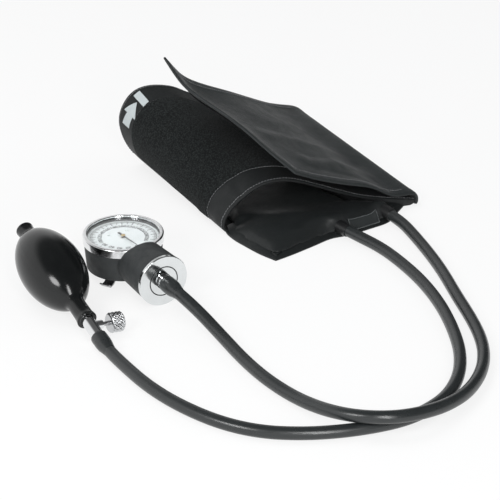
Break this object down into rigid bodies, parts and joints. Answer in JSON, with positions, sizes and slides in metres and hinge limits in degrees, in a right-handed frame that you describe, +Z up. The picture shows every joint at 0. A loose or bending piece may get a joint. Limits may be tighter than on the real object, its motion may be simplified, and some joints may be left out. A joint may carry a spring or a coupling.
{
  "type": "aneroid sphygmomanometer",
  "caption": "Aneroid blood pressure set: dial gauge with a geared pointer, squeeze bulb with a release valve, folded arm cuff with a peel-open flap, joined by rubber tubes.",
  "frame": {"origin": "centre of the bounding box of everything but the two tubes, on the table", "axes": "+Z up from the table; the gauge and the bulb lie to -X, the cuff to +X and +Y, and the tubes loop out to -Y"},
  "size_m": [0.3493, 0.4675, 0.1186],
  "materials": {
    "case_plastic": "fine matte, moulded",
    "bright_chrome": "polished plate",
    "crystal": "clear, flat",
    "black_rubber": "smooth, low sheen",
    "bulb_rubber": "smooth and glossy",
    "tube_rubber": "satin",
    "dial_white": null,
    "movement_brass": "brushed",
    "spring_bronze": "thin spring strip",
    "steel": "turned",
    "clip_steel": "bent strip, brushed",
    "pointer_black": "thin dark enamel",
    "cuff_cloth": "woven nylon, slight sheen",
    "loop_cloth": "fuzzy loops, matte",
    "hook_cloth": "stiff hooks, matte"
  },
  "bodies": {
    "base": {"gauge_case": "case_plastic", "bezel_ring": "bright_chrome", "crystal": "crystal", "crystal_gasket": "black_rubber", "dial_plate": "dial_white", "dial_screws": "steel", "hairspring": "spring_bronze", "movement_frame": "movement_brass", "movement_bridge": "movement_brass", "bridge_screws": "steel", "bellows": "spring_bronze", "bellows_plate": "steel", "pin_guide": "movement_brass", "end_cap": "bright_chrome", "lock_ring": "bright_chrome", "hose_nozzle": "bright_chrome", "cap_gasket": "black_rubber", "back_clip": "clip_steel", "clip_screws": "steel", "bulb": "bulb_rubber", "inlet_fitting": "movement_brass", "inlet_retainer": "movement_brass", "valve_barrel": "bright_chrome", "outlet_seat": "movement_brass", "valve_gland": "bright_chrome", "gland_seal": "black_rubber", "cuff_wrap": "cuff_cloth", "loop_pad": "loop_cloth", "left_port": "black_rubber", "right_port": "black_rubber", "bladder_panel": "cuff_cloth", "inflation_bladder": "black_rubber", "gauge_tube": "tube_rubber", "bulb_tube": "tube_rubber"},
    "push": {"push_pin": "steel"},
    "sector": {"sector_gear": "movement_brass", "sector_shaft": "steel"},
    "pointer": {"pinion_arbor": "steel", "pointer_needle": "pointer_black", "pointer_hub": "movement_brass"},
    "needle": {"release_needle": "steel"},
    "knob": {"thumb_knob": "bright_chrome"},
    "inlet_check": {"inlet_disc": "black_rubber"},
    "outlet_check": {"outlet_disc": "black_rubber"},
    "flap": {"cuff_flap": "cuff_cloth", "hook_pad": "hook_cloth"}
  },
  "joints": [
    {"name": "bellows_push", "type": "slide", "parent": "base", "child": "push", "axis": [-0.5373, 0.8434, 0], "range_m": [0, 0.002]},
    {"name": "sector_swing", "type": "hinge", "parent": "base", "child": "sector", "pos_m": [-0.06963, -0.07523, 0.0198], "axis": [0, 0, 1], "range_deg": [0, 28.8]},
    {"name": "pointer_spin", "type": "hinge", "parent": "base", "child": "pointer", "pos_m": [-0.07548, -0.05821, 0.0198], "axis": [0, 0, 1], "range_deg": [-316.8, 0]},
    {"name": "needle_slide", "type": "slide", "parent": "base", "child": "needle", "axis": [0.8504, 0.5103, -0.1277], "range_m": [0, 0.0013]},
    {"name": "knob_turn", "type": "hinge", "parent": "needle", "child": "knob", "pos_m": [-0.09262, -0.15776, 0.01048], "axis": [0.8504, 0.5103, -0.1277], "range_deg": [0, 450]},
    {"name": "inlet_lift", "type": "slide", "parent": "base", "child": "inlet_check", "axis": [0.4802, -0.8522, -0.2079], "range_m": [0, 0.0008]},
    {"name": "outlet_lift", "type": "slide", "parent": "base", "child": "outlet_check", "axis": [0.4802, -0.8522, -0.2079], "range_m": [0, 0.0008]},
    {"name": "flap_peel", "type": "hinge", "parent": "base", "child": "flap", "pos_m": [0.15537, 0.05635, 0.00591], "axis": [-0.5884, 0.7882, 0.1805], "range_deg": [0, 100]}
  ],
  "couplings": [
    {"joint": "sector_swing", "follows": "bellows_push", "rad_per_m": 250},
    {"joint": "pointer_spin", "follows": "bellows_push", "rad_per_m": -2750},
    {"joint": "needle_slide", "follows": "knob_turn", "m_per_rad": 0.00015915}
  ]
}
